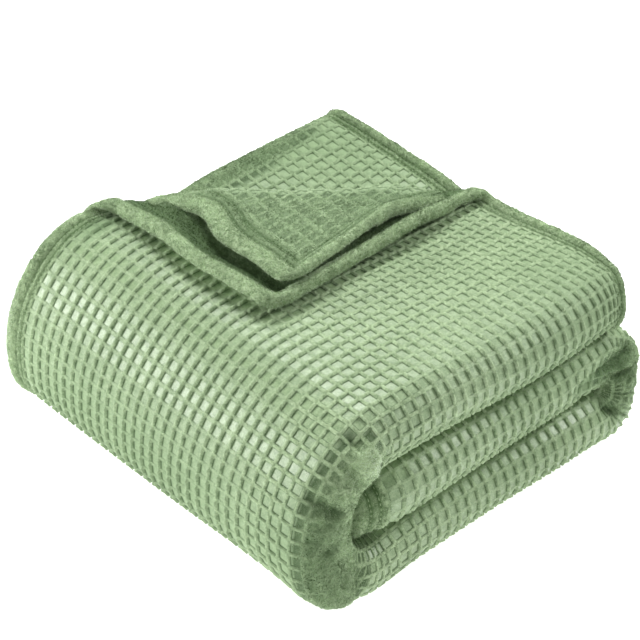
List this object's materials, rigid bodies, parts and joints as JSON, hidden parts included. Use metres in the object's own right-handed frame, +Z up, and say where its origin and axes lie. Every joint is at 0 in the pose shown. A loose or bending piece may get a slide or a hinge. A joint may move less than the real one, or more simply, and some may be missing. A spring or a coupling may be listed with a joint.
{
  "type": "folded fleece blanket",
  "caption": "Waffle-embossed fleece throw blanket, folded into a thick soft pad with its back corner turned over, for covering a bed or sofa.",
  "frame": {"origin": "middle of the bounding box, on the floor that the folded blanket lies on", "axes": "+Z up, +X from the big rounded fold towards the small turn and the hem end, -Y the side of the folded edges"},
  "size_m": [0.4032, 0.3986, 0.1971],
  "materials": {
    "fleece": "plush fleece with a recessed waffle"
  },
  "bodies": {
    "root": {"blanket": "fleece"}
  },
  "joints": []
}
